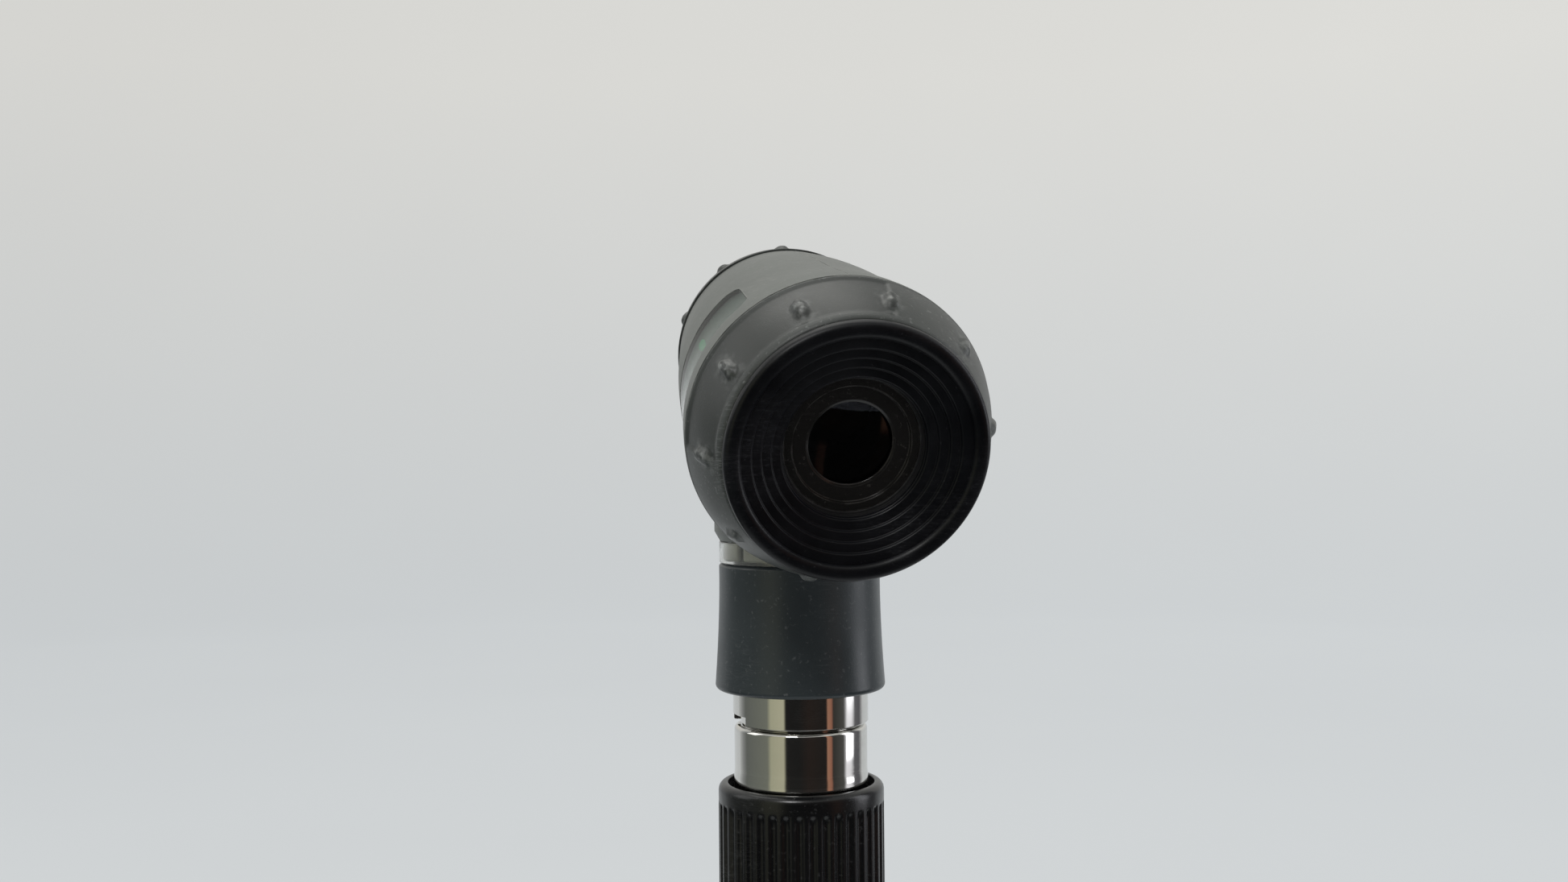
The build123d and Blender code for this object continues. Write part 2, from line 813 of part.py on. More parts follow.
def make_eyepiece_holder():
    """The fixed flange on the back of the optical tube that carries the cushion."""
    rim = eyepiece_station - 5.0
    return turned(
        (tube_radius, rim - 2.0),
        (tube_radius + 1.4, rim - 2.0),
        (tube_radius + 1.4, rim),
        (eyepiece_radius - 1.7, rim),
        (eyepiece_radius - 1.7, rim + 1.0),
        (eyepiece_bore, rim + 1.0),
        (eyepiece_bore, rim),
        (tube_radius, rim),
    )


def make_eyepiece_cushion():
    """The soft black eyepiece: a rounded rim and a stepped funnel."""
    top = eyepiece_station
    seat = top - 4.0
    side = eyepiece_radius - 1.0
    corners = [
        (eyepiece_bore, seat),
        (eyepiece_radius - 1.7, seat),
        (eyepiece_radius - 1.7, seat - 1.0),
        (eyepiece_radius - 3.1, seat - 1.0),
        (eyepiece_radius - 3.1, seat - 1.8),
        (side, seat - 1.8),
        (side, top - 1.9),
        (eyepiece_radius - 0.3, top - 1.9),
        (eyepiece_radius, top - 1.5),
        (eyepiece_radius, top - 0.8),
        (eyepiece_radius - 0.5, top - 0.2),
        (eyepiece_radius - 1.3, top),
        (eyepiece_radius - 2.1, top - 0.1),
    ]
    tread = (eyepiece_radius - 2.6 - eyepiece_bore - 0.4) / 3
    for i in range(3):
        edge = eyepiece_radius - 2.6 - i * tread
        level = top - 0.6 - i * 0.85
        corners += [(edge, level), (edge - 0.1, level - 0.5), (edge - tread + 0.15, level - 0.65)]
    corners += [(eyepiece_bore + 0.3, top - 3.2), (eyepiece_bore, top - 3.5)]
    return turned(*corners)


def make_lens_retainer():
    """The black ring that holds the eye lens in the tube's mouth."""
    edge = eyepiece_station - 7.2
    hole = tube_bore - 4.0
    return turned(
        (tube_bore, edge + TOUCH),
        (tube_bore, edge + 2.0),
        (tube_bore - 1.3, edge + 2.0),
        (tube_bore - 1.4, edge + 1.4),
        (hole + 0.4, edge + 1.2),
        (hole, edge + 1.0),
        (hole, edge + 0.7),
    )


def make_nose_hub():
    """The fixed front hub: a flange clamped by the shell, and the dial's bearing."""
    body = turned(
        (nose_tube_radius, shell_front + 3.2),
        (flange_radius - RUN, shell_front + 3.2),
        (flange_radius - RUN, shell_front + 1.7),
        (hub_radius, shell_front + 1.7),
        (hub_radius, hub_front),
        (hub_bore, hub_front),
        (hub_bore, shell_front + 1.7),
        (nose_tube_radius, shell_front + 1.7),
    )
    half = eject_travel / 2 + cam_pin_radius + RUN
    slot = Pos((hub_bore + hub_radius) / 2, 0, cam_station - eject_travel / 2) * Box(
        4.0, 2 * (cam_pin_radius + RUN), 2 * half
    )
    return head_plane * body.cut(*[Rot(0, 0, a) * slot for a in ejector_angles]) - make_guide(
        guide_radius + TOUCH
    )


def make_grip_dial():
    """The front ring that is turned to push the ear tip off, with cam grooves inside."""
    bore = hub_radius + RUN
    side = Spline(
        (dial_back_radius, dial_back),
        (dial_back_radius - 0.75, (dial_back * 2 + dial_front) / 3),
        (dial_front_radius, dial_front),
    )
    rest = Polyline(
        (dial_front_radius, dial_front), (bore, dial_front), (bore, dial_back), (dial_back_radius, dial_back)
    )
    body = revolve(Plane.XZ * make_face(side + rest), Axis.Z)
    body = body.fuse(*nubs((dial_back + dial_front) / 2, (dial_back_radius + dial_front_radius) / 2 + 0.28, 16.0, 127.3))
    for base in ejector_angles:
        body = body - cam_slot(bore - 1, bore + 1.1, base, -grip_turn, cam_station, -eject_travel)
    return body


def make_ejector():
    """The sleeve that the dial drives forward, with three cam pins."""
    outer = hub_bore - RUN
    step = -27.0
    body = turned(
        (outer - 1.7, cam_station + 2.0),
        (outer, cam_station + 2.0),
        (outer, step),
        (7.3 + 1.9, step),
        (7.3 + 1.9, speculum_back + RUN),
        (7.3, speculum_back + RUN),
        (7.3, step + 1.4),
        (outer - 1.7, step + 1.4),
    )
    pins = [
        radial_rod(cam_pin_radius, outer - 0.8, hub_radius + 1.0, angle, cam_station)
        for angle in ejector_angles
    ]
    return fused([body] + pins)


def make_nose_cone():
    """The front cover that keeps the dial on and guides the ejector."""
    front = speculum_back + 0.6
    return turned(
        (hub_bore, hub_front - TOUCH),
        (dial_front_radius - 0.5, hub_front - TOUCH),
        (dial_front_radius - 1.0, hub_front - 1.6),
        (10.8, front + 0.4),
        (10.4, front),
        (7.3 + 1.9 + RUN + 0.1, front),
        (7.3 + 1.9 + RUN + 0.1, front + 1.2),
        (hub_bore, front + 1.2),
    )


def nozzle_walls(inset):
    """Corners of the nozzle's long stepped cone, back to front, pulled in by inset."""
    return [
        (9.6 - inset, nozzle_back - 2.0),
        (6.9 - inset, -24.0),
        (6.9 - inset, speculum_back),
        (4.4 - inset, nozzle_front),
    ]


def make_nozzle():
    """The fixed metal nozzle that the ear tip slides over."""
    inner = nozzle_walls(0.8)[::-1]
    return turned(
        (9.6 - 0.8, nozzle_back),
        (hub_bore, nozzle_back),
        (hub_bore, nozzle_back - 2.0),
        *nozzle_walls(0),
        *inner,
    )


def make_fibre_ring():
    """The light fibres: a disc that takes the guide's light, then a thin cone to the tip."""
    return turned(
        (8.2, collector_back),
        (hub_bore - 0.4, collector_back),
        (hub_bore - 0.4, collector_back - 1.2),
        (8.75, collector_back - 1.2),
        *nozzle_walls(0.85),
        *nozzle_walls(1.4)[::-1],
    )


def make_nose_baffle():
    """The dull black cone inside the fibres, which the view passes through."""
    return turned((8.1, collector_back - 1.3), *nozzle_walls(1.45), *nozzle_walls(1.9)[::-1], (7.6, collector_back - 1.3))


def make_speculum():
    """The ear tip: a thin funnel with a flange."""
    tip = speculum_back - speculum_length
    wall = 0.65
    return turned(
        (7.15, speculum_back),
        (9.2, speculum_back),
        (9.2, speculum_back - 1.2),
        (8.0, speculum_back - 1.6),
        (7.6, speculum_back - 6.0),
        (speculum_tip_radius + 0.45, tip + 7.0),
        (speculum_tip_radius, tip + 0.5),
        (speculum_tip_radius - 0.2, tip),
        (speculum_tip_radius - wall + 0.1, tip),
        (speculum_tip_radius - wall, tip + 0.5),
        (speculum_tip_radius + 0.45 - wall, tip + 7.0),
        (7.6 - wall, speculum_back - 6.0),
    )


def make_condenser():
    """The clear taper that gathers the lamp's light into the guide."""
    return turned(
        (0, spigot_foot + 0.8),
        (4.2, spigot_foot + 0.8),
        (4.2, neck_foot - 2.0),
        (guide_radius, neck_foot + 2.4),
        (0, neck_foot + 2.4),
    )


def make_condenser_mount():
    """The washer that holds the condenser in the neck's bore."""
    return tube(neck_bore, 4.2, spigot_foot + 0.8, neck_foot - 2.6)


left_half, right_half = make_shell_halves()
left_pane, right_pane = make_panes()
eye_lens_edge = eyepiece_station - 7.2

parts = {
    "handle_tube": make_handle_tube(),
    "neck_ring": make_neck_ring(),
    "rheostat_ring": make_rheostat_ring(),
    "rheostat_wiper": make_wiper(),
    "resistor_track": make_resistor_track(),
    "lock_button": make_lock_button(),
    "button_spring": make_button_spring(),
    "contact_insulator": make_contact_insulator(),
    "contact_pin": make_contact_pin(),
    "contact_spring": make_contact_spring(),
    "battery_cell": make_battery_cell(),
    "battery_terminal": make_battery_terminal(),
    "tail_cap": make_tail_cap(),
    "tail_seal": make_tail_seal(),
    "tail_washer": make_tail_washer(),
    "tail_spring": make_tail_spring(),
    "bayonet_stub": make_bayonet_stub(),
    "base_collar": make_base_collar(),
    "light_band": make_light_band(),
    "lamp_holder": make_lamp_holder(),
    "lamp_base": make_lamp_base(),
    "lamp_bulb": make_lamp_bulb(),
    "shell_left": left_half,
    "shell_right": right_half,
    "window_left": left_pane,
    "window_right": right_pane,
    "shell_screws": make_shell_screws(),
    "air_port": make_air_port(),
    "optical_tube": head_plane * make_optical_tube(),
    "front_window": head_plane * tube(nose_tube_bore, 0, collector_back + 0.4, collector_back + 1.4),
    "objective_lens": head_plane * lens(nose_tube_bore, -6.0, -7.2, 1.1, 1.4),
    "lens_carriage": head_plane * make_lens_carriage(),
    "relay_lens": head_plane * lens(tube_bore - 1.3, carriage_station + 0.4, carriage_station - 1.6, 1.2, 0.6),
    "eye_lens": head_plane * lens(tube_bore, eye_lens_edge, eye_lens_edge - 2.0, 1.0, 1.6),
    "lens_retainer": head_plane * make_lens_retainer(),
    "cam_sleeve": head_plane * make_cam_sleeve(),
    "focus_ring": head_plane * make_focus_ring(),
    "eyepiece_holder": head_plane * make_eyepiece_holder(),
    "eyepiece_cushion": head_plane * make_eyepiece_cushion(),
    "nose_hub": make_nose_hub(),
    "grip_dial": head_plane * make_grip_dial(),
    "ejector": head_plane * make_ejector(),
    "nose_cone": head_plane * make_nose_cone(),
    "nozzle": head_plane * make_nozzle(),
    "fibre_ring": head_plane * make_fibre_ring(),
    "nose_baffle": head_plane * make_nose_baffle(),
    "speculum": head_plane * make_speculum(),
    "light_guide": make_guide(guide_radius),
    "condenser": make_condenser(),
    "condenser_mount": make_condenser_mount(),
}

os.makedirs("parts", exist_ok=True)
for name, shape in parts.items():
    export_step(shape, f"parts/{name}.step")
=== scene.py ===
"""The looks of an otoscope: a grey viewing head on a throat-light base and a bright handle.

Metres, in the row frame: Z runs up the handle and the eyepiece faces -Y. The head's own
pieces are turned about its optical axis: there, a level is a station along that axis,
positive towards the eye, X is to the viewer's right and Y is up.
"""

import json
from math import atan2, degrees, hypot, pi, radians

import bmesh
import bpy
from mathutils import Matrix, Quaternion, Vector


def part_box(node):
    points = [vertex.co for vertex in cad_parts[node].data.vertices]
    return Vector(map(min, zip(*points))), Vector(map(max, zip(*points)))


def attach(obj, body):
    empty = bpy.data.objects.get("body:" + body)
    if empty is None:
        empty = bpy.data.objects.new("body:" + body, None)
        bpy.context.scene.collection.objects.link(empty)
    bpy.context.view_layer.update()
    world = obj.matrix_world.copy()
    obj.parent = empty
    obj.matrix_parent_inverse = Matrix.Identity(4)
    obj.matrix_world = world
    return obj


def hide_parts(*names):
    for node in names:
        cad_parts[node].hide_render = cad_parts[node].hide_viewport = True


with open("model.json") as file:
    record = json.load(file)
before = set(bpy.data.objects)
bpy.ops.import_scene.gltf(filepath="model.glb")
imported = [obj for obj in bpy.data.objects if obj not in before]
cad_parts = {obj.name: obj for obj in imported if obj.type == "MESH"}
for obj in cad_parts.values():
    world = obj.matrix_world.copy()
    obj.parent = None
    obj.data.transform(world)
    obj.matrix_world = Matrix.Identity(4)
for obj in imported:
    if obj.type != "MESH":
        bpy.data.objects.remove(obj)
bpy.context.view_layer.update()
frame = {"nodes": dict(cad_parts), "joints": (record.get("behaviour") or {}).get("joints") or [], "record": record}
nodes = frame["nodes"]

MM = 0.001
UPRIGHT = Matrix.Identity(4)
focus_joint = next(j for j in frame["joints"] if j["name"] == "focus_turn")
eye_axis = Vector(focus_joint["axis"]).normalized()
eye_up = eye_axis.cross(Vector((1, 0, 0)))
OPTIC = Matrix.Translation(Vector(focus_joint["pos_m"])) @ Matrix(
    ((1, 0, 0), eye_up, eye_axis)
).transposed().to_4x4()


# ------------------------------------------------------------------ measuring the frame


class Reach:
    """How far a CAD node reaches in its own turning frame, in mm."""

    def __init__(self, node, place=UPRIGHT):
        back = place.inverted()
        points = [back @ v.co for v in nodes[node].data.vertices]
        self.low = min(p.z for p in points) / MM
        self.high = max(p.z for p in points) / MM
        self.radius = max(hypot(p.x, p.y) for p in points) / MM


neck = Reach("neck_ring")
dimmer = Reach("rheostat_ring")
band = Reach("light_band")
cushion = Reach("eyepiece_cushion", OPTIC)
eye_lens = Reach("eye_lens", OPTIC)
grip = Reach("focus_ring", OPTIC)
dial = Reach("grip_dial", OPTIC)
cone = Reach("nose_cone", OPTIC)
seam = Reach("shell_left", OPTIC).high

# Sizes in mm that a node's reach does not give.
CUSHION_BORE = 10.9
DRUM_RADIUS = 21.4
MARK_RADIUS = DRUM_RADIUS + 0.02
GRIP_DEPTH = 11.3
WEB_BORE, WEB_FRONT, WEB_BACK = 14.0, seam + 1.6, seam + 4.0
DIAL_RADIUS, DIAL_TAPER = 19.0, 2.8
DIAL_BORE, DIAL_GROOVE = 14.1, 15.3
CONE_BORE, CONE_SHOULDER, CONE_MOUTH = 12.15, 13.5, 9.4
DIMMER_RADIUS, DIMMER_BORE = 14.25, 12.1
RECESS_LOW, RECESS_HIGH = dimmer.low + 3.0, dimmer.low + 20.0
BAND_BORE, BAND_HEIGHT = 11.3, 3.7
NECK_BORE, NECK_FOOT, SPIGOT_RADIUS = 10.0, neck.high - 15.9, 9.6

# The turn from one nub or rib to the next.
NUB_GAP, RIB_GAP = radians(36), radians(9)

# Where the camera stands, the way it looks, and the side of the handle that it is on.
CAMERA_SPOT = (-0.0582, -0.2720, 0.1986)
CAMERA_AIM = (0.2006, 0.9797, 0)
CAMERA_SIDE = atan2(CAMERA_SPOT[1], CAMERA_SPOT[0])


# ------------------------------------------------------------------ making meshes


def close_up(bm, sharp=32.0):
    """Merges doubles, points the faces outwards and marks the edges sharper than an angle."""
    bmesh.ops.remove_doubles(bm, verts=bm.verts, dist=0.002 * MM)
    bmesh.ops.recalc_face_normals(bm, faces=bm.faces)
    for face in bm.faces:
        face.smooth = True
    for edge in bm.edges:
        edge.smooth = edge.calc_face_angle(0) < radians(sharp)


def in_scene(name, bm, material):
    """An object in the scene, made of a finished bmesh."""
    mesh = bpy.data.meshes.new(name)
    bm.to_mesh(mesh)
    bm.free()
    mesh.materials.append(material)
    made = bpy.data.objects.new(name, mesh)
    bpy.context.scene.collection.objects.link(made)
    return made


def piece(name, bm, body, material, stands_for=()):
    """Makes an object of a finished bmesh that rides on a body."""
    made = in_scene(name, bm, material)
    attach(made, body)
    if stands_for:
        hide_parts(*stands_for)
    return made


def rounded(bm, geom, offset, affect, segments=5):
    """Rounds off corners or edges by so many mm."""
    bmesh.ops.bevel(
        bm,
        geom=geom,
        offset=offset * MM,
        offset_type="OFFSET",
        affect=affect,
        segments=segments,
        profile=0.5,
        material=-1,
    )


def outline(bm, corners, closed=False, segments=5):
    """Draws (radius, level, rounding) corners in mm as a line of edges beside the axis."""
    verts = [bm.verts.new((c[0] * MM, 0, c[1] * MM)) for c in corners]
    for ends in zip(verts, verts[1:] + (verts[:1] if closed else [])):
        bm.edges.new(ends)
    for vert, corner in zip(verts, corners):
        if len(corner) > 2:
            rounded(bm, [vert], corner[2], "VERTICES", segments)


def turn_z(bm, verts, angle):
    """Turns points about Z."""
    bmesh.ops.rotate(bm, verts=verts, cent=(0, 0, 0), matrix=Matrix.Rotation(angle, 3, "Z"))


def lathe(bm, geom, steps, turn=2 * pi):
    """Spins an outline about Z, and joins its ends if it goes all the way round."""
    bmesh.ops.spin(
        bm,
        geom=geom,
        cent=(0, 0, 0),
        axis=(0, 0, 1),
        angle=turn,
        steps=steps,
        use_merge=turn == 2 * pi,
    )


def spun(corners, steps=120, place=UPRIGHT):
    """A bmesh turned about Z from (radius, level, rounding) corners in mm.

    An outline that starts and ends on the axis is left open there.
    """
    bm = bmesh.new()
    outline(bm, corners, closed=corners[0][0] != 0 or corners[-1][0] != 0)
    lathe(bm, bm.verts[:] + bm.edges[:], steps)
    close_up(bm)
    bmesh.ops.transform(bm, matrix=place, verts=bm.verts)
    return bm


# ------------------------------------------------------------------ making materials


def add(tree, kind, **inputs):
    """Adds a node. Sockets are linked, values are set, and names keep their spaces as _."""
    node = tree.nodes.new("ShaderNode" + kind)
    for key, value in inputs.items():
        name = key.replace("_", " ")
        if name in node.inputs:
            if isinstance(value, bpy.types.NodeSocket):
                tree.links.new(value, node.inputs[name])
            else:
                node.inputs[name].default_value = value
        else:
            setattr(node, key, value)
    return node


def reckon(tree, operation, a, b=0.0):
    """One step of arithmetic on two values."""
    node = tree.nodes.new("ShaderNodeMath")
    node.operation = operation
    for socket, value in zip(node.inputs, (a, b)):
        if isinstance(value, bpy.types.NodeSocket):
            tree.links.new(value, socket)
        else:
            socket.default_value = value
    return node.outputs[0]


def times(tree, a, b):
    """One value multiplied by another."""
    return reckon(tree, "MULTIPLY", a, b)


def plus(tree, a, b):
    """One value added to another."""
    return reckon(tree, "ADD", a, b)


def noise(tree, scale, detail=4.0, stretch=None, turn=(0, 0, 0), rough=0.55):
    """Fractal noise on object coordinates, scale in cells per metre."""
    spot = add(tree, "TexCoord").outputs["Object"]
    if stretch:
        spot = add(tree, "Mapping", Vector=spot, Scale=stretch, Rotation=turn).outputs[0]
    cloud = add(tree, "TexNoise", Vector=spot, Scale=scale, Detail=detail, Roughness=rough)
    return cloud.outputs["Fac"]


def spread(tree, value, low, high, to_low=0.0, to_high=1.0):
    """Maps a value's range low..high to another, and holds it there."""
    node = tree.nodes.new("ShaderNodeMapRange")
    tree.links.new(value, node.inputs["Value"])
    numbers = {"From Min": low, "From Max": high, "To Min": to_low, "To Max": to_high}
    for name, number in numbers.items():
        node.inputs[name].default_value = number
    return node.outputs["Result"]


def blended(tree, share, a, b):
    """A colour between a and b."""
    node = tree.nodes.new("ShaderNodeMix")
    node.data_type = "RGBA"
    for name, value in (("Factor", share), ("A", a), ("B", b)):
        socket = next(s for s in node.inputs if s.name == name and s.enabled)
        if isinstance(value, bpy.types.NodeSocket):
            tree.links.new(value, socket)
        else:
            socket.default_value = (*value, 1.0) if name != "Factor" else value
    return next(s for s in node.outputs if s.enabled)


def edges(tree, radius, low=0.004, high=0.06):
    """1 on a convex or worn edge, 0 on an open face."""
    rounded = add(tree, "Bevel", Radius=radius * MM)
    rounded.samples = 6
    facing = add(tree, "NewGeometry").outputs["Normal"]
    dot = tree.nodes.new("ShaderNodeVectorMath")
    dot.operation = "DOT_PRODUCT"
    tree.links.new(rounded.outputs[0], dot.inputs[0])
    tree.links.new(facing, dot.inputs[1])
    return spread(tree, dot.outputs["Value"], 1 - low, 1 - high)


def scratches(tree, scale=90.0, thin=0.012):
    """Fine scuff lines in three directions, 1 on a line."""
    lines = None
    for turn in ((0.3, 0.9, 0.2), (1.2, 0.1, 1.9), (2.1, 2.3, 0.6)):
        run = noise(tree, scale, 2.0, (1.0, 1.0, 14.0), turn)
        off_middle = reckon(tree, "ABSOLUTE", reckon(tree, "SUBTRACT", run, 0.5))
        line = spread(tree, off_middle, thin, 0.0)
        lines = line if lines is None else reckon(tree, "MAXIMUM", lines, line)
    patch = spread(tree, noise(tree, 60.0, 2.0), 0.5, 0.68)
    return times(tree, lines, patch)


def new_finish(name, roughness=0.5, metallic=0.0, **constants):
    """A material, its node tree and its shader, with constants set on the shader."""
    material = bpy.data.materials.new(name)
    material.use_nodes = True
    tree = material.node_tree
    shader = tree.nodes["Principled BSDF"]
    shader.inputs["Roughness"].default_value = roughness
    shader.inputs["Metallic"].default_value = metallic
    for key, value in constants.items():
        shader.inputs[key.replace("_", " ")].default_value = value
    return material, tree, shader


def dress(tree, shader, colour=None, roughness=None, height=None, depth=0.05, rounding=0.0):
    """Links a colour, a roughness and a bump, its depth in mm, on edges rounded by so many mm."""
    if colour is not None:
        tree.links.new(colour, shader.inputs["Base Color"])
    if roughness is not None:
        tree.links.new(roughness, shader.inputs["Roughness"])
    if height is not None:
        bump = add(tree, "Bump", Height=height, Distance=depth * MM)
        if rounding:
            soft = add(tree, "Bevel", Radius=rounding * MM)
            soft.samples = 4
            tree.links.new(soft.outputs[0], bump.inputs["Normal"])
        tree.links.new(bump.outputs[0], shader.inputs["Normal"])


def moulded(
    name, colour, worn, roughness, grain=0.03, scuffs=0.5, edge=0.5, patch=0.12, worn_and_shaded_part=False
):
    """Moulded plastic: fine texture, cloudy tone, scuff lines and paler worn edges.

    A worn and shaded part also reads two values of its mesh: "worn" on rubbed nubs, and "hollow", which darkens a
    recess as painted shade.
    """
    material, tree, shader = new_finish(name, roughness)
    cloud = noise(tree, 70.0, 5.0)
    tone = blended(
        tree,
        spread(tree, cloud, 0.3, 0.7),
        [c * (1 - patch) for c in colour],
        [c * (1 + patch) for c in colour],
    )
    speck = spread(tree, noise(tree, 1500.0, 2.0), 0.62, 0.8)
    tone = blended(tree, times(tree, speck, 0.35), tone, worn)
    lines = times(tree, scratches(tree), scuffs)
    tone = blended(tree, lines, tone, worn)
    rub = times(tree, edges(tree, 0.35), spread(tree, noise(tree, 300.0, 3.0), 0.4, 0.62))
    tone = blended(tree, times(tree, rub, edge), tone, worn)
    fine = noise(tree, 3800.0, 3.0, rough=0.6)
    coarse = noise(tree, 420.0, 3.0)
    skin_height = plus(tree, times(tree, fine, 0.7), times(tree, coarse, 0.3))
    gloss = spread(tree, cloud, 0.3, 0.75, roughness - 0.06, roughness + 0.08)
    gloss = plus(tree, gloss, times(tree, lines, 0.15))
    if worn_and_shaded_part:
        # Painted shade: the recess that the mesh marks "hollow" is darkened.
        hollow_shade = add(tree, "Attribute", attribute_name="hollow").outputs["Fac"]
        tone = blended(tree, hollow_shade, tone, [0.72 * c for c in colour])
        mark = add(tree, "Attribute", attribute_name="worn").outputs["Fac"]
        chipped = times(tree, mark, spread(tree, noise(tree, 700.0, 4.0), 0.45, 0.6))
        tone = blended(tree, times(tree, chipped, 0.6), tone, worn)
    dress(tree, shader, tone, gloss, skin_height, grain, 0.2)
    return material


def plated(name, colour, roughness, smear=0.1, brushed=False):
    """Bright metal with faint wipe marks, and turning lines if it is brushed."""
    material, tree, shader = new_finish(name, roughness, 1.0)
    smudge = spread(tree, noise(tree, 110.0, 5.0), 0.42, 0.75)
    hair = scratches(tree, 160.0, 0.006)
    tone = blended(tree, times(tree, smudge, 0.35), colour, [c * 0.82 for c in colour])
    gloss = plus(tree, times(tree, smudge, smear), times(tree, hair, 0.25))
    gloss = plus(tree, gloss, roughness)
    height = hair
    if brushed:
        rings = noise(tree, 250.0, 3.0, (1.0, 1.0, 30.0))
        height = plus(tree, hair, rings)
        gloss = plus(tree, gloss, times(tree, rings, 0.12))
    dress(tree, shader, tone, gloss, height, 0.012 if brushed else 0.004, 0.15)
    return material


def clear(name, colour, roughness=0.02, ior=1.5, transmission=1.0, dust=0.2):
    """Clear glass or plastic, with a trace of dust."""
    material, tree, shader = new_finish(
        name, roughness, Transmission_Weight=transmission, IOR=ior
    )
    specks = spread(tree, noise(tree, 900.0, 3.0), 0.6, 0.85)
    dusty = [0.3 + 0.6 * c for c in colour]
    tone = blended(tree, times(tree, specks, dust), colour, dusty)
    gloss = plus(tree, times(tree, specks, dust), roughness)
    dress(tree, shader, tone, gloss)
    return material


def eyepiece_rubber():
    """Smooth black rubber with a soft sheen and dust."""
    material, tree, shader = new_finish("eyepiece_rubber", 0.36, Specular_IOR_Level=0.3)
    cloud = noise(tree, 120.0, 5.0)
    dark, pale = (0.0012, 0.0014, 0.0024), (0.0028, 0.0033, 0.0052)
    tone = blended(tree, spread(tree, cloud, 0.35, 0.7), dark, pale)
    dust = times(tree, spread(tree, noise(tree, 2600.0, 2.0), 0.69, 0.8), 0.4)
    lines = times(tree, scratches(tree, 120.0, 0.008), 0.3)
    tone = blended(tree, reckon(tree, "MAXIMUM", dust, lines), tone, (0.06, 0.06, 0.066))
    gloss = spread(tree, cloud, 0.3, 0.75, 0.3, 0.48)
    height = plus(tree, noise(tree, 2800.0, 3.0), times(tree, cloud, 0.5))
    dress(tree, shader, tone, gloss, height, 0.012)
    return material


def battery_wrap():
    """A printed shrink sleeve, dark with a plain band round one end."""
    material, tree, shader = new_finish("battery_wrap", 0.3)
    spot = add(tree, "TexCoord").outputs["Object"]
    level = add(tree, "SeparateXYZ", Vector=spot).outputs["Z"]
    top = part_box("battery_cell")[1].z
    stripe = spread(tree, level, top - 12.2 * MM, top - 12.0 * MM)
    cloud = spread(tree, noise(tree, 200.0, 3.0), 0.3, 0.7)
    sleeve = blended(tree, cloud, (0.03, 0.034, 0.045), (0.045, 0.05, 0.065))
    tone = blended(tree, stripe, sleeve, (0.55, 0.33, 0.16))
    dress(tree, shader, tone, None, noise(tree, 500.0, 2.0), 0.01)
    return material


# Colour, worn colour, roughness, grain in mm, scuffs, worn edges, cloudiness, worn part with painted shade in its
# hollow.
MOULDED = {
    "shell_grey": ((0.094, 0.102, 0.094), (0.36, 0.36, 0.33), 0.46, 0.035, 0.4),
    "focus_grey": (
        (0.034, 0.038, 0.0355), (0.3, 0.31, 0.3), 0.42, 0.03, 0.3, 0.5, 0.12, True
    ),
    "collar_slate": ((0.023, 0.03, 0.0335), (0.17, 0.17, 0.17), 0.36, 0.02, 0.3),
    "ring_black": ((0.003, 0.0032, 0.0038), (0.08, 0.08, 0.08), 0.28, 0.012, 0.25, 0.3),
    "tube_black": ((0.008, 0.008, 0.009), (0.05, 0.05, 0.05), 0.55, 0.02, 0.2),
    "retainer_black": ((0.007, 0.0064, 0.006), (0.07, 0.065, 0.06), 0.22, 0.01, 0.2),
    "speculum_black": ((0.012, 0.012, 0.014), (0.08, 0.08, 0.08), 0.3, 0.012, 0.2),
    "insulator": ((0.12, 0.11, 0.1), (0.3, 0.3, 0.28), 0.6, 0.02, 0.2),
    "button_green": ((0.03, 0.16, 0.055), (0.2, 0.32, 0.2), 0.35, 0.01, 0.3),
    "track_carbon": ((0.02, 0.02, 0.02), (0.07, 0.07, 0.07), 0.7, 0.02, 0.6),
    "seal_rubber": ((0.015, 0.015, 0.015), (0.06, 0.06, 0.06), 0.6, 0.01, 0.2),
    "mark_white": ((0.75, 0.78, 0.75), (0.5, 0.5, 0.48), 0.45, 0.01, 0.1),
    "mark_green": ((0.03, 0.5, 0.2), (0.2, 0.5, 0.3), 0.45, 0.01, 0.1),
    "pad_white": ((0.78, 0.78, 0.72), (0.4, 0.4, 0.36), 0.5, 0.01, 0.1),
}

# Colour, roughness, smear, brushed.
PLATED = {
    "handle_chrome": ((0.66, 0.66, 0.65), 0.11),
    "neck_chrome": ((0.7, 0.69, 0.66), 0.06, 0.06),
    "turned_steel": ((0.6, 0.6, 0.59), 0.24, 0.1, True),
    "spring_steel": ((0.42, 0.42, 0.42), 0.25),
    "contact_brass": ((0.7, 0.5, 0.22), 0.18),
}

# Colour, roughness, refraction, transmission, dust.
CLEAR = {
    "lens_glass": ((0.42, 0.45, 0.52), 0.0, 1.4, 1.0, 0.0),
    "lamp_glass": ((0.97, 0.97, 0.95),),
    "window_smoke": ((0.5, 0.6, 0.55), 0.0, 1.06, 1.0, 0.0),
    "band_clear": ((0.93, 0.94, 0.92), 0.05, 1.49, 0.95, 0.08),
    "fibre_clear": ((0.88, 0.87, 0.8), 0.2, 1.5, 0.5),
}

FINISH = {}
for make, table in ((moulded, MOULDED), (plated, PLATED), (clear, CLEAR)):
    for name, values in table.items():
        FINISH[name] = make(name, *values)
FINISH["eyepiece_rubber"] = eyepiece_rubber()
FINISH["battery_wrap"] = battery_wrap()
FINISH["terminal_steel"] = FINISH["turned_steel"]
FINISH["clear_band"] = FINISH["band_clear"]

# The slot of each CAD node, and the finish of that slot.
slot_of = {s["node"]: s["material_slot"] for s in frame["record"]["subparts"]}
for name, node in nodes.items():
    node.data.materials.clear()
    node.data.materials.append(FINISH[slot_of[name]])


# ------------------------------------------------------------------ the eyepiece


